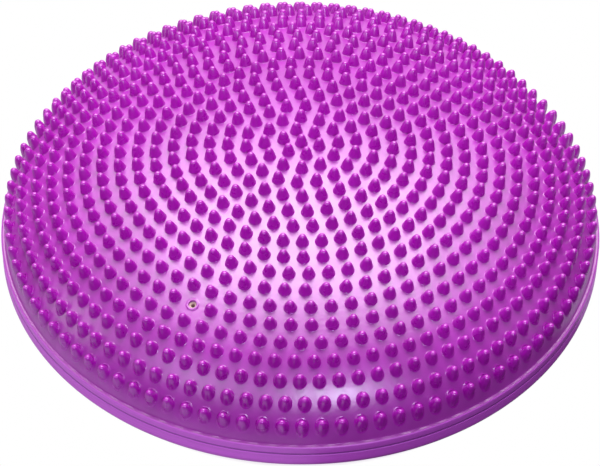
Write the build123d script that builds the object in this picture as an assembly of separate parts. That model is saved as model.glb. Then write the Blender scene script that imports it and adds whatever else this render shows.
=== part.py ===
"""Inflatable balance dome: a nubbed upper skin and a smooth lower skin, joined by a weld round the rim,
with a self-sealing needle valve set in the upper skin.

Millimetres, +Z up.  The origin is the middle of the base, on the floor.  -Y is the front.
"""
from build123d import *
from math import asin, atan2, cos, degrees, pi, radians, sin
import os

os.makedirs("parts", exist_ok=True)

# ---- driving dimensions -------------------------------------------------------------------------
rim_radius = 165.0            # outside of the rim band, the widest part
seam_height = 25.0            # the plane where the two skins meet, above the floor
skin_thickness = 2.0          # wall of both skins

# upper skin: four arcs, each tangent to the next, from the crown down to the crease at the rim
crown_radius = 414.5          # radius of the flattest arc, over the middle
crown_reach = 91.0            # distance from the axis to where the crown arc ends
haunch_width = 34.8           # from the end of the second arc out to the crease
haunch_slope = 22.4           # degrees below level there
shoulder_width = 11.2         # from the end of the third arc out to the crease
shoulder_slope = 45.0
crease_slope = 75.4           # slope at the crease, where the fourth arc ends
lip_step = 2.0                # how far the rim band stands out from the skin at the crease
lip_round = 1.2               # rounding of the band's upper edge
upper_band = 5.2              # height of the band above the seam

# massage nubs, each with its foot on the upper skin
nub_radius = 3.3
nub_height = 6.7
nub_tip_radius = 1.95
nub_shank = 0.4               # straight foot of a nub, above the skin
nub_taper = 8.0               # degrees that a nub's side leans in where it leaves the foot
nub_tilt_limit = 17.0         # a nub stands square to the skin until the skin slopes more than this
bare_strip = 10.05            # skin left bare between the outermost ring and the crease

# gaps from ring to ring along the skin, as shares of the even gap of the inner rings
outer_gaps = [1.022, 1.159, 1.24]

# nubs in each ring from the middle outwards, and the angle of the ring's first place in degrees
rings = [
    (6, 46.1), (12, 1.2), (18, 6.1), (24, 1.1), (30, 10.2), (36, 6.2),
    (43, 3.0), (48, 1.2), (54, 6.3), (58, 4.8), (64, 3.1), (69, 1.8),
    (76, 0.4), (84, 3.3), (90, 2.2), (96, 1.2), (99, 1.6),
]

# lower skin
lower_wall = 6.0              # straight height of the band below the seam
lower_round = 5.0             # rounding of the band's lower edge
base_reach = 90.0             # radius of the flat middle that rests on the floor
grip_height = 1.2             # the flat dots that stand on the floor
grip_radius = 4.0
grip_ring_pitch = 18.5
grip_rings = 4
grip_per_ring = 6             # dots added with each ring outwards

# weld bead that joins the skins
flange_width = 5.0            # width of the faces that meet at the seam
weld_height = 1.2
weld_depth = 3.6              # from the outside of the band inwards
weld_recess = 0.2             # the bead stops short of the outside

# needle valve, in place of one nub
valve_ring = 12
valve_place = 46              # counted round the ring from its first place
collar_radius = 3.3
collar_proud = 0.5            # the collar's lip above the skin
collar_round = 0.25           # rounding of the collar's outer edge
mouth_radius = 2.1
pocket_radius = 3.4           # room for the rubber core behind the mouth
pocket_wall = 1.5
pocket_length = 10.0
pocket_roof = 0.5             # between the pocket and the inside of the skin
seat_flange_radius = 8.0
seat_flange_thickness = 1.2
core_recess = 1.1             # the core's face below the lip
core_tail = 4.0               # the core's rounded tail beyond the pocket
core_tail_radius = 2.4
needle_radius = 0.95
needle_length = 10.0
funnel_radius = 1.5           # dished lead-in to the needle hole
funnel_depth = 0.6

# ---- upper skin profile -------------------------------------------------------------------------
crease_radius = rim_radius - lip_step
haunch_reach = crease_radius - haunch_width
shoulder_reach = crease_radius - shoulder_width
crown_slope = degrees(asin(crown_reach / crown_radius))


def skin_arcs():
    """The tangent arcs of the upper skin as (radius, start slope, end slope, centre), crown at z 0."""
    reaches = [0.0, crown_reach, haunch_reach, shoulder_reach, crease_radius]
    slopes = [0.0, crown_slope, haunch_slope, shoulder_slope, crease_slope]
    arcs = []
    depth = 0.0
    for i in range(len(slopes) - 1):
        low, high = radians(slopes[i]), radians(slopes[i + 1])
        radius = (reaches[i + 1] - reaches[i]) / (sin(high) - sin(low))
        centre = (reaches[i] - radius * sin(low), depth - radius * cos(low))
        arcs.append((radius, low, high, centre))
        depth -= radius * (cos(low) - cos(high))
    return arcs, depth


arcs, crease_depth = skin_arcs()
crown_height = seam_height + upper_band - crease_depth
skin_length = sum(radius * (high - low) for radius, low, high, centre in arcs)


def arc_point(arc, slope, inset=0.0):
    """A point of the skin where it slopes by so many radians, or of a surface so far inside it."""
    radius, low, high, centre = arc
    reach = radius - inset
    return (centre[0] + reach * sin(slope), crown_height + centre[1] + reach * cos(slope))


def skin_place(distance):
    """The point and slope of the upper skin at a distance along it from the crown."""
    left = distance
    for arc in arcs:
        radius, low, high, centre = arc
        length = radius * (high - low)
        if left <= length or arc is arcs[-1]:
            slope = low + left / radius
            return arc_point(arc, slope), slope
        left -= length


def skin_frame(distance, angle):
    """A plane on the skin whose Z is the outward normal, at a distance from the crown and an angle."""
    (reach, height), slope = skin_place(distance)
    turn = radians(angle)
    out = Vector(cos(turn), sin(turn), 0)
    origin = out * reach + Vector(0, 0, height)
    normal = out * sin(slope) + Vector(0, 0, cos(slope))
    return Plane(origin, x_dir=Vector(-sin(turn), cos(turn), 0), z_dir=normal)


def turned(lines):
    """The solid of revolution about Z of a closed outline drawn in X and Z."""
    edges = [edge for line in lines for edge in line.edges()]
    return revolve(make_face(Plane.XZ * Wire(edges)), Axis.Z)


def chain_arcs(inset):
    """The skin's arcs as edges, from the crown outwards, at the outside or so far inside it."""
    edges = []
    for arc in arcs:
        low, high = arc[1], arc[2]
        points = [arc_point(arc, slope, inset) for slope in (low, (low + high) / 2, high)]
        edges.append(ThreePointArc(*points))
    return edges


def upper_blank():
    """The upper skin with its half of the rim band, before the groove and the valve hole."""
    outer = chain_arcs(0.0)
    inner = chain_arcs(skin_thickness)
    crease = outer[-1] @ 1
    inside = inner[-1] @ 1
    top = crown_height
    lip_start = (rim_radius - lip_round, crease.Y)
    lip_mid = (rim_radius - lip_round * (1 - sin(pi / 4)), crease.Y - lip_round * (1 - cos(pi / 4)))
    lip_end = (rim_radius, crease.Y - lip_round)
    flange_inside = rim_radius - flange_width
    lines = outer + [
        Line(crease, lip_start),
        ThreePointArc(lip_start, lip_mid, lip_end),
        Line(lip_end, (rim_radius, seam_height)),
        Line((rim_radius, seam_height), (flange_inside, seam_height)),
        Line((flange_inside, seam_height), (flange_inside, inside.Y)),
        Line((flange_inside, inside.Y), inside),
    ] + inner + [Line((0, top - skin_thickness), (0, top))]
    return turned(lines)


def nub():
    """One nub about Z with the skin at z 0: a long foot to be cut off at the skin, and an ogive above it."""
    taper = radians(nub_taper)
    tip_centre = nub_height - nub_tip_radius
    rise = tip_centre - nub_shank
    over = nub_radius ** 2 + rise ** 2 - nub_tip_radius ** 2
    side = over / (2 * (nub_radius * cos(taper) - rise * sin(taper) - nub_tip_radius))
    centre = (nub_radius - side * cos(taper), nub_shank - side * sin(taper))
    join_turn = atan2(tip_centre - centre[1], -centre[0])
    mid_turn = (taper + join_turn) / 2
    side_mid = (centre[0] + side * cos(mid_turn), centre[1] + side * sin(mid_turn))
    join = (nub_tip_radius * cos(join_turn), tip_centre + nub_tip_radius * sin(join_turn))
    tip_turn = (join_turn + pi / 2) / 2
    tip_mid = (nub_tip_radius * cos(tip_turn), tip_centre + nub_tip_radius * sin(tip_turn))
    foot_end = -2 * nub_radius
    return turned([
        Line((0, foot_end), (nub_radius, foot_end)),
        Line((nub_radius, foot_end), (nub_radius, nub_shank)),
        ThreePointArc((nub_radius, nub_shank), side_mid, join),
        ThreePointArc(join, tip_mid, (0, nub_height)),
        Line((0, nub_height), (0, foot_end)),
    ])


def ring_distance(ring):
    """How far along the skin from the crown a ring lies, where ring 0 is the nub in the middle."""
    gaps = [1.0] * (len(rings) - len(outer_gaps)) + outer_gaps
    return (skin_length - bare_strip) * sum(gaps[:ring]) / sum(gaps)


def ring_angle(ring, place):
    """The angle of a place in a ring, where rings count from 1."""
    count, first = rings[ring - 1]
    return first + 360.0 * place / count


def nubs():
    """Every nub in its place, but for the one whose place the valve takes.

    Where the skin slopes more than the tilt limit, the nubs lean back uphill from its normal.
    """
    whole = nub()
    placed = [skin_frame(0, 0).location * split(whole, bisect_by=Plane.XY, keep=Keep.TOP)]
    for ring, (count, first) in enumerate(rings, start=1):
        distance = ring_distance(ring)
        slope = degrees(skin_place(distance)[1])
        leant = Rot(-max(0.0, slope - nub_tilt_limit), 0, 0) * whole
        one = split(leant, bisect_by=Plane.XY, keep=Keep.TOP)
        for place in range(count):
            if (ring, place) == (valve_ring, valve_place):
                continue
            placed.append(skin_frame(distance, ring_angle(ring, place)).location * one)
    return Compound(placed)


def seam_ring(outside):
    """A ring of the weld's height and inner radius round the seam, out to a given radius."""
    ring = Cylinder(outside, weld_height) - Cylinder(rim_radius - weld_depth, weld_height)
    return Pos(0, 0, seam_height) * ring


def groove():
    """The open groove round the seam that the weld bead lies in."""
    return seam_ring(rim_radius + weld_depth)


def weld_bead():
    """The bead of weld between the skins, a little below the outside of the band."""
    return seam_ring(rim_radius - weld_recess)


# ---- valve --------------------------------------------------------------------------------------
valve_plane = skin_frame(ring_distance(valve_ring), ring_angle(valve_ring, valve_place))
pocket_top = -skin_thickness - pocket_roof
pocket_end = pocket_top - pocket_length
core_face = collar_proud - core_recess


def at_valve(body):
    """A body drawn about Z, with the skin's outside at Z 0, put in its place in the skin."""
    return valve_plane.location * body


def valve_hole():
    """What the collar passes through."""
    return at_valve(Cylinder(collar_radius, 4 * skin_thickness))


def upper_skin():
    """The domed skin that the nubs stand on, with the valve's hole through it."""
    return upper_blank() - groove() - valve_hole()


def valve_seat(skin):
    """The moulded seat: a collar through the skin, a flange welded under it and a pocket for the core."""
    sleeve_radius = pocket_radius + pocket_wall
    body = turned([
        Polyline(
            (mouth_radius, collar_proud),
            (mouth_radius, pocket_top),
            (pocket_radius, pocket_top),
            (pocket_radius, pocket_end),
            (sleeve_radius, pocket_end),
            (sleeve_radius, -skin_thickness - seat_flange_thickness),
            (seat_flange_radius, -skin_thickness - seat_flange_thickness),
            (seat_flange_radius, -skin_thickness / 2),
            (collar_radius, -skin_thickness / 2),
            (collar_radius, collar_proud - collar_round),
        ),
        ThreePointArc(
            (collar_radius, collar_proud - collar_round),
            (collar_radius - collar_round * (1 - sin(pi / 4)), collar_proud - collar_round * (1 - cos(pi / 4))),
            (collar_radius - collar_round, collar_proud),
        ),
        Line((collar_radius - collar_round, collar_proud), (mouth_radius, collar_proud)),
    ])
    return at_valve(body) - skin


def valve_core():
    """The self-sealing rubber core, with a blind needle hole that narrows from a dish."""
    hole_end = core_face - needle_length
    tail_start = pocket_end - core_tail + core_tail_radius
    tail_mid = (core_tail_radius * cos(pi / 4), tail_start - core_tail_radius * sin(pi / 4))
    return at_valve(turned([
        Polyline(
            (0, hole_end),
            (needle_radius, hole_end),
            (needle_radius, core_face - funnel_depth),
            (funnel_radius, core_face),
            (mouth_radius, core_face),
            (mouth_radius, pocket_top),
            (pocket_radius, pocket_top),
            (pocket_radius, pocket_end),
            (core_tail_radius, pocket_end),
            (core_tail_radius, tail_start),
        ),
        ThreePointArc((core_tail_radius, tail_start), tail_mid, (0, tail_start - core_tail_radius)),
        Line((0, tail_start - core_tail_radius), (0, hole_end)),
    ]))


# ---- lower skin ---------------------------------------------------------------------------------
def lower_blank():
    """The lower skin with its half of the rim band, before the groove and the grip dots.

    The underside is one arc, level where it leaves the flat middle and tangent to the band's rounding.
    """
    edge = (rim_radius - lower_round, seam_height - lower_wall)
    run = edge[0] - base_reach
    rise = edge[1] - grip_height
    sweep = (run ** 2 + rise ** 2 - lower_round ** 2) / (2 * (rise - lower_round))
    centre = (base_reach, grip_height + sweep)
    slope = atan2(run, centre[1] - edge[1])

    def sweep_point(angle, inset):
        reach = sweep - inset
        return (centre[0] + reach * sin(angle), centre[1] - reach * cos(angle))

    def edge_point(angle):
        return (edge[0] + lower_round * sin(angle), edge[1] - lower_round * cos(angle))

    flange_inside = rim_radius - flange_width
    inside = sweep_point(slope, skin_thickness)
    return turned([
        Line((0, grip_height), (base_reach, grip_height)),
        ThreePointArc(*[sweep_point(angle, 0) for angle in (0, slope / 2, slope)]),
        ThreePointArc(*[edge_point(angle) for angle in (slope, (slope + pi / 2) / 2, pi / 2)]),
        Line((rim_radius, edge[1]), (rim_radius, seam_height)),
        Line((rim_radius, seam_height), (flange_inside, seam_height)),
        Line((flange_inside, seam_height), inside),
        ThreePointArc(*[sweep_point(angle, skin_thickness) for angle in (slope, slope / 2, 0)]),
        Line((base_reach, grip_height + skin_thickness), (0, grip_height + skin_thickness)),
        Line((0, grip_height + skin_thickness), (0, grip_height)),
    ])


def grip_dots():
    """The flat dots of the underside, one in the middle and rings of them round it."""
    root = skin_thickness / 2
    dot = Pos(0, 0, (grip_height + root) / 2) * Cylinder(grip_radius, grip_height + root)
    dots = [dot]
    for ring in range(1, grip_rings + 1):
        dots += [loc * dot for loc in PolarLocations(ring * grip_ring_pitch, ring * grip_per_ring)]
    return dots


def lower_skin():
    """The smooth skin in one piece."""
    return lower_blank().fuse(*grip_dots()) - groove()


def main():
    """Makes each piece and writes it to its own file."""
    skin = upper_skin()
    pieces = {
        "upper_skin": skin,
        "massage_nubs": nubs(),
        "lower_skin": lower_skin(),
        "rim_weld": weld_bead(),
        "valve_seat": valve_seat(skin),
        "valve_core": valve_core(),
    }
    for name, piece in pieces.items():
        piece.label = name
        export_step(piece, f"parts/{name}.step")


main()
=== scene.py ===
from math import asin, atan2, cos, degrees, pi, radians, sin

import bpy
from mathutils import Matrix, Vector


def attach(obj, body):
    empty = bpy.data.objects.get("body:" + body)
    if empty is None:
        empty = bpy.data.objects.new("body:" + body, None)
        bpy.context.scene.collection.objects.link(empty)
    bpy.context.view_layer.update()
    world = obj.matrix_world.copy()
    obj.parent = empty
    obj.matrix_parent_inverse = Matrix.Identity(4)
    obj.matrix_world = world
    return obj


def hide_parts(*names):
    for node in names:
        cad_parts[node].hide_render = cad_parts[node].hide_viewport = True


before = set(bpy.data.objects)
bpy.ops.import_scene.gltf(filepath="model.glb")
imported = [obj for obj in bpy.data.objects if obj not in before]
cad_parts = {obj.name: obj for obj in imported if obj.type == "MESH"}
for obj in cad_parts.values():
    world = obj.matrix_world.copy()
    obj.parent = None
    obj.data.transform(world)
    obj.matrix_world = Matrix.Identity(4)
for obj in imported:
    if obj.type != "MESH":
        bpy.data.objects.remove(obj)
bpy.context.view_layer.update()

MM = 0.001

# ---- sizes of the dome, the same as the part's own, in millimetres and degrees ---------------------
RIM_RADIUS = 165.0
SEAM_HEIGHT = 25.0            # where the two skins meet, above the floor
CROWN_RADIUS = 414.5
REACHES = [0.0, 91.0, 128.2, 151.8, 163.0]      # from the axis to the ends of the skin's four arcs
SLOPES = [0.0, degrees(asin(REACHES[1] / CROWN_RADIUS)), 22.4, 45.0, 75.4]
UPPER_BAND = 5.2              # height of the rim band above the seam
LIP_ROUND = 1.2
LOWER_WALL = 6.0              # straight height of the band below the seam
LOWER_ROUND = 5.0
BASE_REACH = 90.0             # radius of the flat middle of the underside
GRIP_HEIGHT = 1.2
GRIP_RADIUS = 4.0
GRIP_RING_PITCH = 18.5
GRIP_RINGS = 4
GRIP_PER_RING = 6             # dots added with each ring outwards
WELD_HEIGHT = 1.2
WELD_DEPTH = 3.6

NUB_RADIUS = 3.3
NUB_HEIGHT = 6.7
NUB_TIP_RADIUS = 1.95
NUB_SHANK = 0.4               # straight foot of a nub, above the skin
NUB_TAPER = 8.0
NUB_TILT_LIMIT = 17.0         # a nub stands square to the skin until the skin slopes more than this
BARE_STRIP = 10.05            # between the outermost ring and the crease
OUTER_GAPS = [1.022, 1.159, 1.24]               # as shares of the even gap of the inner rings
RINGS = [                     # nubs in each ring, and the angle of its first place
    (6, 46.1), (12, 1.2), (18, 6.1), (24, 1.1), (30, 10.2), (36, 6.2),
    (43, 3.0), (48, 1.2), (54, 6.3), (58, 4.8), (64, 3.1), (69, 1.8),
    (76, 0.4), (84, 3.3), (90, 2.2), (96, 1.2), (99, 1.6),
]
VALVE_RING = 12
VALVE_PLACE = 46
COLLAR_RADIUS = 3.3
COLLAR_PROUD = 0.5
MOUTH_RADIUS = 2.1
CORE_RECESS = 1.1
NEEDLE_RADIUS = 0.95
CORE_FACE = COLLAR_PROUD - CORE_RECESS           # above the skin
FUNNEL_RADIUS = 1.5
FUNNEL_DEPTH = 0.6

# ---- softened edges that only the dressed dome has, in millimetres ---------------------------------
CREASE_WIDTH = 0.12           # the small dip between the skin and the rim band's lip
CREASE_DIP = 0.1
SEAM_ROUND = 0.4              # both skins' edges at the weld groove
NUB_FILLET = 0.45             # where a nub's side runs out into the skin
FILLET_SINK = 0.05            # how far the fillet's end lies under the skin
SKIRT_REACH = 1.5             # how far a nub's hidden skirt runs out, as a share of its fillet
SKIRT_DEPTH = 0.25            # how far the skirt's end lies under the skin
LEAN_BLEND = 3.0              # height over which a leaning nub turns from the skin's normal
GRIP_ROUND = 0.4
GRIP_FLAT_EDGE = 0.5          # from a dot's side in to the end of its flat face
GRIP_FOOT = [(0.0, -0.35), (0.15, -0.1), (0.5, 0.05)]           # out from a dot's side, up from its foot
COLLAR_FOOT = [(0.9, -0.12), (0.35, 0.02), (0.05, 0.15)]        # out from its side, up from the skin
COLLAR_ROUND = 0.3
COLLAR_INSET = 0.05           # how much narrower the collar is above its foot
MOUTH_ROUND = 0.25
MOUTH_LOOP = 1.2              # below the lip, a second row of points that keeps the rounding tight
MOUTH_END = -2.8              # below the skin, behind the core's face
VALVE_HOLE_RADIUS = 3.2
VALVE_HOLE_REACH = 9.0        # how far its cutter stands out of the skin on both sides
CORE_OUTLINE = [              # (radius, height above the core's face) from its wall into its hole
    (MOUTH_RADIUS, -1.5), (MOUTH_RADIUS, -0.1), (MOUTH_RADIUS - 0.12, 0.0),
    (FUNNEL_RADIUS + 0.1, 0.03), (FUNNEL_RADIUS - 0.1, -0.1),
    (NEEDLE_RADIUS + 0.15, 0.05 - FUNNEL_DEPTH), (NEEDLE_RADIUS, -0.2 - FUNNEL_DEPTH),
]
NEEDLE_DEPTH = 9.5            # from the core's face to the end of the hole

# ---- how finely the round pieces are drawn ---------------------------------------------------------
SKIN_SIDES = 360
SKIN_STEPS = 150
BASE_STEPS = 12
NUB_SIDES = 22
FILLET_STEPS = 4
GRIP_SIDES = 32
COLLAR_SIDES = 64
CORE_SIDES = 48


# ---- mesh helpers ----------------------------------------------------------------------------------
def mesh_object(name, vertices, faces, smooth=True):
    """A mesh object from points in millimetres."""
    mesh = bpy.data.meshes.new(name)
    mesh.from_pydata([[c * MM for c in v] for v in vertices], [], faces)
    mesh.validate()
    mesh.polygons.foreach_set("use_smooth", [smooth] * len(mesh.polygons))
    obj = bpy.data.objects.new(name, mesh)
    bpy.context.scene.collection.objects.link(obj)
    return obj


def lathe(profile, sides):
    """Vertices and faces of an outline of (radius, height) turned about Z. A zero radius is one point."""
    vertices, faces, rows = [], [], []
    for radius, height in profile:
        if radius <= 0.0:
            rows.append([len(vertices)] * sides)
            vertices.append((0.0, 0.0, height))
            continue
        rows.append(list(range(len(vertices), len(vertices) + sides)))
        for k in range(sides):
            turn = 2 * pi * k / sides
            vertices.append((radius * cos(turn), radius * sin(turn), height))
    for low, high in zip(rows, rows[1:]):
        for k in range(sides):
            n = (k + 1) % sides
            corners = [low[k], low[n], high[n], high[k]]
            kept = [c for i, c in enumerate(corners) if c not in corners[:i]]
            if len(kept) > 2:
                faces.append(kept)
    return vertices, faces


def arc(centre, radius, start, end, steps):
    """Points of an arc in (radius, height), from one angle to another in radians."""
    turns = [start + (end - start) * i / steps for i in range(steps + 1)]
    return [(centre[0] + radius * cos(t), centre[1] + radius * sin(t)) for t in turns]


def copies(name, shape, faces, matrices):
    """One mesh of a shape repeated at many places."""
    vertices, polygons = [], []
    for matrix in matrices:
        base = len(vertices)
        vertices += [matrix @ Vector(v) for v in shape]
        polygons += [[base + i for i in face] for face in faces]
    return mesh_object(name, vertices, polygons)


def bake_modifiers(obj):
    """Bakes an object's modifiers into its mesh."""
    graph = bpy.context.evaluated_depsgraph_get()
    made = bpy.data.meshes.new_from_object(obj.evaluated_get(graph))
    obj.modifiers.clear()
    obj.data = made
    obj.data.polygons.foreach_set("use_smooth", [True] * len(made.polygons))


# ---- the upper skin's outline ----------------------------------------------------------------------
def skin_arcs():
    """The skin's tangent arcs as (radius, start slope, end slope, centre), with the crown at height 0."""
    arcs, depth = [], 0.0
    for i in range(len(SLOPES) - 1):
        low, high = radians(SLOPES[i]), radians(SLOPES[i + 1])
        radius = (REACHES[i + 1] - REACHES[i]) / (sin(high) - sin(low))
        centre = (REACHES[i] - radius * sin(low), depth - radius * cos(low))
        arcs.append((radius, low, high, centre))
        depth -= radius * (cos(low) - cos(high))
    return arcs, depth


ARCS, CREASE_DEPTH = skin_arcs()
CROWN_HEIGHT = SEAM_HEIGHT + UPPER_BAND - CREASE_DEPTH
SKIN_LENGTH = sum(radius * (high - low) for radius, low, high, centre in ARCS)
GAPS = [0.0] + [1.0] * (len(RINGS) - len(OUTER_GAPS)) + OUTER_GAPS
RING_AT = [(SKIN_LENGTH - BARE_STRIP) * sum(GAPS[:i + 1]) / sum(GAPS) for i in range(len(GAPS))]


def skin_place(distance):
    """(distance from the axis, height, slope) of the skin so far along it from the crown."""
    left = distance
    for part in ARCS:
        radius, low, high, centre = part
        length = radius * (high - low)
        if left <= length or part is ARCS[-1]:
            slope = low + left / radius
            reach = centre[0] + radius * sin(slope)
            return reach, CROWN_HEIGHT + centre[1] + radius * cos(slope), slope
        left -= length


def skin_matrix(distance, angle):
    """The frame on the skin whose Z is the outward normal and whose X points down the slope."""
    reach, height, slope = skin_place(distance)
    turn = radians(angle)
    out = Vector((cos(turn), sin(turn), 0.0))
    normal = out * sin(slope) + Vector((0, 0, cos(slope)))
    down = out * cos(slope) - Vector((0, 0, sin(slope)))
    side = normal.cross(down)
    place = Matrix((down, side, normal)).transposed().to_4x4()
    place.translation = out * reach + Vector((0, 0, height))
    return place


def ring_angle(ring, place):
    """The angle of a place in a ring, where rings count from 1."""
    count, first = RINGS[ring - 1]
    return first + 360.0 * place / count


VALVE = skin_matrix(RING_AT[VALVE_RING], ring_angle(VALVE_RING, VALVE_PLACE))


def at_valve(obj):
    """Puts a piece drawn about Z, with the skin at Z 0, in the valve's place."""
    obj.data.transform(Matrix.Translation(VALVE.translation * MM) @ VALVE.to_3x3().to_4x4())
    return obj


# ---- pieces ----------------------------------------------------------------------------------------
def make_upper_skin():
    """The domed skin down to the weld groove, with a soft crease above the lip of the rim band."""
    profile = [(0.0, CROWN_HEIGHT)]
    for i in range(1, SKIN_STEPS + 1):
        reach, height, _ = skin_place(SKIN_LENGTH * i / SKIN_STEPS)
        profile.append((reach, height))
    crease = profile[-1][1]
    groove = SEAM_HEIGHT + WELD_HEIGHT / 2
    groove_floor = RIM_RADIUS - WELD_DEPTH
    profile.append((REACHES[-1] + CREASE_WIDTH, crease - CREASE_DIP))
    profile += arc((RIM_RADIUS - LIP_ROUND, crease - LIP_ROUND), LIP_ROUND, pi / 2, 0, steps=8)
    profile += arc((RIM_RADIUS - SEAM_ROUND, groove + SEAM_ROUND), SEAM_ROUND, 0, -pi / 2, steps=4)
    profile += [(groove_floor, groove), (groove_floor, SEAM_HEIGHT)]
    obj = mesh_object("upper_skin_form", *lathe(profile, SKIN_SIDES))
    hole = [(0, -VALVE_HOLE_REACH), (VALVE_HOLE_RADIUS, -VALVE_HOLE_REACH),
            (VALVE_HOLE_RADIUS, VALVE_HOLE_REACH), (0, VALVE_HOLE_REACH)]
    cutter = at_valve(mesh_object("valve_cut", *lathe(hole, CORE_SIDES)))
    cut = obj.modifiers.new("valve", "BOOLEAN")
    cut.operation, cut.solver, cut.object = "DIFFERENCE", "EXACT", cutter
    bake_modifiers(obj)
    bpy.data.objects.remove(cutter)
    return obj


def nub_outline():
    """One nub from its tip down to where its fillet runs out into the skin."""
    taper = radians(NUB_TAPER)
    rise = NUB_HEIGHT - NUB_TIP_RADIUS - NUB_SHANK
    over = NUB_RADIUS ** 2 + rise ** 2 - NUB_TIP_RADIUS ** 2
    side = over / (2 * (NUB_RADIUS * cos(taper) - rise * sin(taper) - NUB_TIP_RADIUS))
    centre = (NUB_RADIUS - side * cos(taper), NUB_SHANK - side * sin(taper))
    tip = (0.0, NUB_HEIGHT - NUB_TIP_RADIUS)
    join = atan2(tip[1] - centre[1], tip[0] - centre[0])
    start = asin((NUB_FILLET - centre[1]) / side)
    points = arc(tip, NUB_TIP_RADIUS, pi / 2, join, steps=5)[:-1]
    points[0] = (0.0, NUB_HEIGHT)
    points += arc(centre, side, join, start, steps=8)
    foot = points[-1][0]
    for i in range(1, FILLET_STEPS + 1):
        turn = pi / 2 * i / FILLET_STEPS
        sink = FILLET_SINK * i / FILLET_STEPS
        points.append((foot + NUB_FILLET * (1 - cos(turn)), NUB_FILLET * (1 - sin(turn)) - sink))
    points.append((foot + NUB_FILLET * SKIRT_REACH, -SKIRT_DEPTH))
    return points


def lean_nub(shape, slope):
    """A nub drawn about Z, leant back uphill from the skin's normal with its foot still on the skin."""
    back = max(0.0, slope - radians(NUB_TILT_LIMIT))
    leant = []
    for x, y, z in shape:
        share = min(1.0, max(0.0, z / LEAN_BLEND))
        share = share * share * (3 - 2 * share)
        turn = back * share
        wide = 1 / cos(back - turn)
        leant.append((x * wide * cos(turn) - z * sin(back), y, z * cos(back) + x * wide * sin(turn)))
    return leant


def make_nubs(ring):
    """Every nub of one ring as one mesh. The valve takes one place of its ring."""
    shape, faces = lathe(nub_outline(), NUB_SIDES)
    shape = lean_nub(shape, skin_place(RING_AT[ring])[2])
    faces = [list(reversed(face)) for face in faces]
    if ring == 0:
        angles = [0.0]
    else:
        count = RINGS[ring - 1][0]
        angles = [ring_angle(ring, k) for k in range(count) if (ring, k) != (VALVE_RING, VALVE_PLACE)]
    places = [skin_matrix(RING_AT[ring], angle) for angle in angles]
    return copies(f"nub_ring_{ring:02d}", shape, faces, places)


def make_lower_skin():
    """The underside: flat in the middle, one sweep up to the rim band, and the band's lower half."""
    edge = (RIM_RADIUS - LOWER_ROUND, SEAM_HEIGHT - LOWER_WALL)
    run, rise = edge[0] - BASE_REACH, edge[1] - GRIP_HEIGHT
    sweep = (run ** 2 + rise ** 2 - LOWER_ROUND ** 2) / (2 * (rise - LOWER_ROUND))
    centre = (BASE_REACH, GRIP_HEIGHT + sweep)
    slope = atan2(run, centre[1] - edge[1])
    groove = SEAM_HEIGHT - WELD_HEIGHT / 2
    groove_floor = RIM_RADIUS - WELD_DEPTH
    profile = [(BASE_REACH * i / BASE_STEPS, GRIP_HEIGHT) for i in range(BASE_STEPS)]
    profile += arc(centre, sweep, -pi / 2, -pi / 2 + slope, steps=24)
    profile += arc(edge, LOWER_ROUND, -pi / 2 + slope, 0, steps=12)[1:]
    profile += arc((RIM_RADIUS - SEAM_ROUND, groove - SEAM_ROUND), SEAM_ROUND, 0, pi / 2, steps=4)
    profile += [(groove_floor, groove), (groove_floor, SEAM_HEIGHT)]
    return mesh_object("lower_skin_form", *lathe(profile, SKIN_SIDES))


def make_grip_dots():
    """The flat dots of the underside, each with a rounded edge and a fillet at its foot."""
    profile = [(0.0, 0.0), (GRIP_RADIUS - GRIP_FLAT_EDGE, 0.0)]
    profile += arc((GRIP_RADIUS - GRIP_ROUND, GRIP_ROUND), GRIP_ROUND, -pi / 2, 0, steps=4)
    profile += [(GRIP_RADIUS + out, GRIP_HEIGHT + up) for out, up in GRIP_FOOT]
    places = [Matrix.Identity(4)]
    for ring in range(1, GRIP_RINGS + 1):
        reach = ring * GRIP_RING_PITCH
        for k in range(ring * GRIP_PER_RING):
            turn = 2 * pi * k / (ring * GRIP_PER_RING)
            places.append(Matrix.Translation((reach * cos(turn), reach * sin(turn), 0)))
    return copies("grip_dots", *lathe(profile, GRIP_SIDES), places)


def make_collar():
    """The valve's collar: a low round lip with a fillet on its outside and the mouth within."""
    top = COLLAR_PROUD
    profile = [(COLLAR_RADIUS + out, up) for out, up in COLLAR_FOOT]
    outer = (COLLAR_RADIUS - COLLAR_INSET - COLLAR_ROUND, top - COLLAR_ROUND)
    profile += arc(outer, COLLAR_ROUND, 0, pi / 2, steps=5)
    profile += arc((MOUTH_RADIUS + MOUTH_ROUND, top - MOUTH_ROUND), MOUTH_ROUND, pi / 2, pi, steps=4)
    profile += [(MOUTH_RADIUS, top - MOUTH_LOOP), (MOUTH_RADIUS, MOUTH_END)]
    return at_valve(mesh_object("valve_collar_form", *lathe(profile, COLLAR_SIDES)))


def make_core():
    """The rubber core's face with the dish round its needle hole."""
    profile = [(radius, CORE_FACE + up) for radius, up in CORE_OUTLINE]
    return at_valve(mesh_object("valve_core_form", *lathe(profile, CORE_SIDES)))


def make_needle_hole():
    """The wall and the end of the needle hole, in rubber painted darker than the face as painted shade
    inside the hole.
    """
    radius, up = CORE_OUTLINE[-1]
    end = CORE_FACE - NEEDLE_DEPTH
    profile = [(radius, CORE_FACE + up), (radius, end), (0.0, end)]
    return at_valve(mesh_object("needle_hole_form", *lathe(profile, CORE_SIDES)))


# ---- materials -------------------------------------------------------------------------------------
TEXTURE_RANGE = (0.3, 0.7)    # where most of a noise texture's values lie
PEEL_DEPTH = 0.0004           # metres
PVC_IOR = 1.5


def principled(name):
    """A new material, its tree and its Principled node."""
    material = bpy.data.materials.new(name)
    material.use_nodes = True
    return material, material.node_tree, material.node_tree.nodes["Principled BSDF"]


def link(tree, given, taken):
    """Joins an output to an input."""
    tree.links.new(given, taken)


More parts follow.
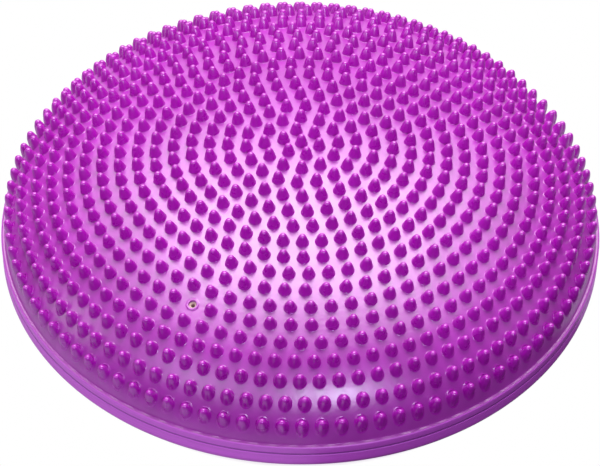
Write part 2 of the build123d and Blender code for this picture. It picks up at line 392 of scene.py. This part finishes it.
def noise(tree, scale, detail=3.0, roughness=0.55, stretch=None):
    """A noise texture in the object's own coordinates, drawn out by three factors where they are given."""
    where = tree.nodes.new("ShaderNodeTexCoord").outputs["Object"]
    if stretch:
        mapping = tree.nodes.new("ShaderNodeMapping")
        mapping.inputs["Scale"].default_value = stretch
        link(tree, where, mapping.inputs["Vector"])
        where = mapping.outputs["Vector"]
    node = tree.nodes.new("ShaderNodeTexNoise")
    node.inputs["Scale"].default_value = scale
    node.inputs["Detail"].default_value = detail
    node.inputs["Roughness"].default_value = roughness
    link(tree, where, node.inputs["Vector"])
    return node.outputs["Fac"]


def ramp(tree, value, low, high):
    """A colour ramp between two stops, each given as (place, colour)."""
    node = tree.nodes.new("ShaderNodeValToRGB")
    for point, (place, colour) in zip(node.color_ramp.elements, (low, high)):
        point.position, point.color = place, (*colour, 1)
    link(tree, value, node.inputs["Fac"])
    return node.outputs["Color"]


def map_range(tree, value, given, wanted=(0.0, 1.0)):
    """Maps a value from one range to another, held at its ends."""
    node = tree.nodes.new("ShaderNodeMapRange")
    node.inputs["From Min"].default_value, node.inputs["From Max"].default_value = given
    node.inputs["To Min"].default_value, node.inputs["To Max"].default_value = wanted
    link(tree, value, node.inputs["Value"])
    return node.outputs["Result"]


def maths(tree, operation, first, second):
    """A Math node of two linked values."""
    node = tree.nodes.new("ShaderNodeMath")
    node.operation = operation
    link(tree, first, node.inputs[0])
    link(tree, second, node.inputs[1])
    return node.outputs["Value"]


def mixed(tree, share, first, second, kind="RGBA"):
    """A linked value mixed with another, which is linked or a plain number."""
    node = tree.nodes.new("ShaderNodeMix")
    node.data_type = kind
    factor, a, b = [socket for socket in node.inputs if socket.enabled]
    link(tree, share, factor)
    link(tree, first, a)
    if isinstance(second, float):
        b.default_value = second
    else:
        link(tree, second, b)
    return [socket for socket in node.outputs if socket.enabled][0]


def moulded_group():
    """The unevenness of moulded PVC: colour between two values, gloss about one, and orange peel."""
    tree = bpy.data.node_groups.new("moulded_surface", "ShaderNodeTree")
    colour, number, vector = "NodeSocketColor", "NodeSocketFloat", "NodeSocketVector"
    for way, name, kind in (
        ("INPUT", "Dark", colour), ("INPUT", "Light", colour),
        ("INPUT", "Gloss loss", number), ("INPUT", "Peel", number),
        ("OUTPUT", "Color", colour), ("OUTPUT", "Roughness", number), ("OUTPUT", "Normal", vector),
    ):
        tree.interface.new_socket(name, in_out=way, socket_type=kind)
    given = tree.nodes.new("NodeGroupInput").outputs
    made = tree.nodes.new("NodeGroupOutput").inputs
    patches = map_range(tree, noise(tree, scale=38.0), TEXTURE_RANGE)
    link(tree, mixed(tree, patches, given["Dark"], given["Light"]), made["Color"])
    dull_spots = map_range(tree, noise(tree, scale=90.0), TEXTURE_RANGE, (-0.04, 0.05))
    link(tree, maths(tree, "ADD", given["Gloss loss"], dull_spots), made["Roughness"])
    peel = tree.nodes.new("ShaderNodeBump")
    peel.inputs["Distance"].default_value = PEEL_DEPTH
    link(tree, given["Peel"], peel.inputs["Strength"])
    link(tree, noise(tree, scale=420.0, detail=2.0), peel.inputs["Height"])
    link(tree, peel.outputs["Normal"], made["Normal"])
    return tree


MOULDED = moulded_group()


def vinyl(name, dark, light, rough, peel, gloss=0.5):
    """Soft glossy PVC in a colour that varies a little over the surface."""
    material, tree, shader = principled(name)
    group = tree.nodes.new("ShaderNodeGroup")
    group.node_tree = MOULDED
    group.inputs["Dark"].default_value = (*dark, 1)
    group.inputs["Light"].default_value = (*light, 1)
    group.inputs["Gloss loss"].default_value = rough
    group.inputs["Peel"].default_value = peel
    link(tree, group.outputs["Color"], shader.inputs["Base Color"])
    link(tree, group.outputs["Roughness"], shader.inputs["Roughness"])
    link(tree, group.outputs["Normal"], shader.inputs["Normal"])
    shader.inputs["IOR"].default_value = PVC_IOR
    shader.inputs["Specular IOR Level"].default_value = gloss
    return material


# where the rim band's duller surface, painted paler as light bounced up from the floor, ends below and
# above, as (height, blur) in millimetres
BAND_LOW = (SEAM_HEIGHT - LOWER_WALL - 3.0, 2.0)
BAND_HIGH = (SEAM_HEIGHT + UPPER_BAND - 0.25, 0.15)
BAND_STREAKS = (9.0, 9.0, 900.0)                # long round the rim and fine up it
BAND_SHARES = (0.9, 1.1)      # of the band's colour, in its darkest and lightest streaks


def band_mask(tree):
    """One on the rim band and nought above and below it."""
    apart = tree.nodes.new("ShaderNodeSeparateXYZ")
    link(tree, tree.nodes.new("ShaderNodeTexCoord").outputs["Object"], apart.inputs["Vector"])
    edges = []
    for (height, blur), wanted in ((BAND_LOW, (0, 1)), (BAND_HIGH, (1, 0))):
        ends = ((height - blur) * MM, (height + blur) * MM)
        edges.append(map_range(tree, apart.outputs["Z"], ends, wanted))
    return maths(tree, "MULTIPLY", *edges)


def add_band_with_painted_bounce(material, colour, rough):
    """Gives a vinyl a duller, streaked surface on the rim band, where the skins were welded and trimmed,
    painted paler there as a painted bounce of light from the floor.
    """
    tree = material.node_tree
    shader = tree.nodes["Principled BSDF"]
    mask = band_mask(tree)
    streaks = noise(tree, scale=1.0, detail=4.0, roughness=0.5, stretch=BAND_STREAKS)
    dark, light = [tuple(c * share for c in colour) for share in BAND_SHARES]
    low, high = TEXTURE_RANGE
    uneven = ramp(tree, streaks, (low, dark), (high, light))
    for name, band, kind in (("Base Color", uneven, "RGBA"), ("Roughness", rough, "FLOAT")):
        socket = shader.inputs[name]
        link(tree, mixed(tree, mask, socket.links[0].from_socket, band, kind), socket)


skin_vinyl = vinyl("skin_vinyl", dark=(0.31, 0.016, 0.315), light=(0.365, 0.023, 0.375),
                   rough=0.33, peel=0.25, gloss=1.0)
# the band's colour is painted paler than the skin, standing in for light bounced up from the floor
add_band_with_painted_bounce(skin_vinyl, colour=(0.55, 0.068, 0.60), rough=0.5)
nub_vinyl = vinyl("nub_vinyl", dark=(0.33, 0.001, 0.333), light=(0.375, 0.002, 0.383),
                  rough=0.28, peel=0.10, gloss=0.9)
weld_vinyl = vinyl("weld_vinyl", dark=(0.26, 0.03, 0.31), light=(0.30, 0.04, 0.36), rough=0.5, peel=0.3)
core_rubber = vinyl("core_rubber", dark=(0.47, 0.32, 0.27), light=(0.58, 0.42, 0.36), rough=0.6, peel=0.3)
# painted shade: the needle hole's rubber is painted darker than the core's face for the shade inside the
# hole
hole_shade_rubber = vinyl("hole_shade_rubber", dark=(0.26, 0.11, 0.14), light=(0.34, 0.16, 0.19), rough=0.6, peel=0.3)


def wear(obj, material):
    """Gives a piece its one material."""
    obj.data.materials.clear()
    obj.data.materials.append(material)


def dress(obj, material, slot, *nodes):
    """Puts a piece on the dome's body, in place of the nodes that it stands for."""
    wear(obj, material)
    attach(obj, "root")
    if nodes:
        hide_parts(*nodes)


upper = make_upper_skin()
lower = make_lower_skin()
dress(upper, skin_vinyl, "skin", "upper_skin")
dress(lower, skin_vinyl, "skin", "lower_skin")
dress(make_grip_dots(), skin_vinyl, "skin")
dress(make_collar(), skin_vinyl, "skin", "valve_seat")
dress(make_core(), core_rubber, "valve_rubber", "valve_core")
dress(make_needle_hole(), hole_shade_rubber, "valve_rubber", "valve_core")
for ring in range(len(RINGS) + 1):
    dress(make_nubs(ring), nub_vinyl, "nubs", "massage_nubs")
wear(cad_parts["rim_weld"], weld_vinyl)


# ---- stage, light and camera -----------------------------------------------------------------------
FLOOR_REACH = 3000.0          # from the middle to each side, in millimetres
PAPER_SHADE_FADE = (0.24, 0.38)     # metres from the middle over which the paper's colour for bounced light fades from a painted pool of light to painted shade
PAPER_PAINTED_LIT = (0.42, 0.42, 0.46)
PAPER_PAINTED_SHADE = (0.05, 0.05, 0.05)
PAINTED_SHADOW_EDGE = (0.1475, 0.1530)                 # metres from the middle where the painted contact shadow ends
PAINTED_CONTACT_SHADOW = (0.58, 0.38, 0.62)
WHITE = (1.0, 1.0, 1.0)

FLAG_REACH = (168.0, 330.0)   # the black cloth's inner and outer radius, in millimetres
FLAG_ANGLES = range(-87, -17)
FLAG_HEIGHT = 1.0

WORLD_FILL = 0.125
DOME_MIDDLE = (0.0, 0.0, 0.05)
SOFTBOXES = [                 # name, place and aim in metres, width and height, watts, colour
    ("overhead_back", (0.0, 0.62, 1.5), DOME_MIDDLE, (1.25, 0.95), 25, WHITE),
    ("overhead_wide", (0.0, 0.5, 1.6), DOME_MIDDLE, (2.4, 1.2), 19, WHITE),
    ("back_mid", (0.0, 1.15, 1.15), DOME_MIDDLE, (2.2, 0.7), 13, WHITE),
    ("back_low", (0.0, 1.5, 0.35), DOME_MIDDLE, (2.6, 0.7), 7, WHITE),
    ("left_side", (-1.5, -0.1, 0.6), DOME_MIDDLE, (0.5, 0.9), 4, WHITE),
    ("right_side", (1.5, -0.1, 0.6), DOME_MIDDLE, (0.5, 0.9), 1, WHITE),
    ("front_left", (-0.8, -0.95, 1.15), DOME_MIDDLE, (0.9, 0.7), 6, (0.86, 0.84, 1.0)),
    ("front_right", (0.26, -1.09, 1.04), (0.02, -0.146, 0.06), (0.46, 0.18), 9, (0.8, 0.86, 1.0)),
]

CAMERA_PLACE = (-0.0002, -1.0402, 1.0743)
CAMERA_DOWN = 45.414          # degrees below level
CAMERA_ROLL = 0.646
CAMERA_CLIP = (0.05, 50.0)
SENSOR_WIDTH = 36.0
FRAME_WIDTH = 600
FOCAL_PIXELS = 2664.7


def floor_paper():
    """Paper that shows white to the camera, with a painted contact shadow round the dome's foot; for the
    light it throws back, its colour is a painted pool of light near the dome that fades to painted shade
    further out.
    """
    material, tree, shader = principled("floor_paper")
    away = tree.nodes.new("ShaderNodeVectorMath")
    away.operation = "LENGTH"
    link(tree, tree.nodes.new("ShaderNodeTexCoord").outputs["Object"], away.inputs[0])
    # painted light and shade: the paper's colour for bounced light is lit near the dome and shaded further
    # out
    fade = map_range(tree, away.outputs["Value"], PAPER_SHADE_FADE)
    link(tree, ramp(tree, fade, (0.0, PAPER_PAINTED_LIT), (1.0, PAPER_PAINTED_SHADE)), shader.inputs["Base Color"])
    shader.inputs["Roughness"].default_value = 0.9
    glow = tree.nodes.new("ShaderNodeEmission")
    # painted shadow: a lilac ring is painted into the paper's white round the dome's foot
    edge = map_range(tree, away.outputs["Value"], PAINTED_SHADOW_EDGE)
    link(tree, ramp(tree, edge, (0.0, PAINTED_CONTACT_SHADOW), (1.0, WHITE)), glow.inputs["Color"])
    path = tree.nodes.new("ShaderNodeLightPath")
    mix = tree.nodes.new("ShaderNodeMixShader")
    link(tree, path.outputs["Is Camera Ray"], mix.inputs["Fac"])
    link(tree, shader.outputs["BSDF"], mix.inputs[1])
    link(tree, glow.outputs["Emission"], mix.inputs[2])
    link(tree, mix.outputs["Shader"], tree.nodes["Material Output"].inputs["Surface"])
    return material


def make_floor():
    """The sheet of paper that the dome lies on."""
    far = FLOOR_REACH
    corners = [(-far, -far, 0), (far, -far, 0), (far, far, 0), (-far, far, 0)]
    floor = mesh_object("floor", corners, [[0, 1, 2, 3]], smooth=False)
    wear(floor, floor_paper())


def make_flag():
    """A black cloth on the floor by the front right of the rim, which the camera doesn't see."""
    turns = [radians(a) for a in FLAG_ANGLES]
    corners = [(r * cos(t), r * sin(t), FLAG_HEIGHT) for r in FLAG_REACH for t in turns]
    count = len(turns)
    faces = [[k, k + count, k + count + 1, k + 1] for k in range(count - 1)]
    flag = mesh_object("flag", corners, faces, smooth=False)
    material, tree, shader = principled("flag_cloth")
    low, high = TEXTURE_RANGE
    weave = ramp(tree, noise(tree, scale=900.0), (low, (0.01, 0.01, 0.01)), (high, (0.02, 0.02, 0.02)))
    link(tree, weave, shader.inputs["Base Color"])
    shader.inputs["Roughness"].default_value = 1.0
    wear(flag, material)
    flag.visible_camera = False


def make_softbox(name, place, aim, size, power, colour):
    """An area light at a place in metres, facing a point."""
    light = bpy.data.lights.new(name, "AREA")
    light.shape, light.size, light.size_y = "RECTANGLE", size[0], size[1]
    light.energy, light.color = power, colour
    obj = bpy.data.objects.new(name, light)
    obj.location = place
    obj.rotation_euler = (Vector(aim) - Vector(place)).to_track_quat("-Z", "Y").to_euler()
    obj.visible_camera = False
    bpy.context.scene.collection.objects.link(obj)


def make_world():
    """A weak white fill from all round, which the camera sees as plain white."""
    world = bpy.context.scene.world or bpy.data.worlds.new("world")
    bpy.context.scene.world = world
    world.use_nodes = True
    tree = world.node_tree
    sky = tree.nodes["Background"]
    sky.inputs["Color"].default_value = (*WHITE, 1)
    path = tree.nodes.new("ShaderNodeLightPath")
    strength = map_range(tree, path.outputs["Is Camera Ray"], (0.0, 1.0), (WORLD_FILL, 1.0))
    link(tree, strength, sky.inputs["Strength"])
    world.cycles_visibility.glossy = False


def make_camera():
    """The camera, in front of the dome and above it."""
    camera = bpy.data.cameras.new("camera")
    camera.sensor_width = SENSOR_WIDTH
    camera.lens = FOCAL_PIXELS / FRAME_WIDTH * SENSOR_WIDTH
    camera.clip_start, camera.clip_end = CAMERA_CLIP
    obj = bpy.data.objects.new("camera", camera)
    obj.location = CAMERA_PLACE
    down = Matrix.Rotation(radians(90 - CAMERA_DOWN), 4, "X")
    roll = Matrix.Rotation(radians(CAMERA_ROLL), 4, "Z")
    obj.rotation_euler = (down @ roll).to_euler()
    bpy.context.scene.collection.objects.link(obj)
    bpy.context.scene.camera = obj


make_floor()
make_flag()
for softbox in SOFTBOXES:
    make_softbox(*softbox)
make_world()
make_camera()
bpy.context.scene.view_settings.view_transform = "Standard"
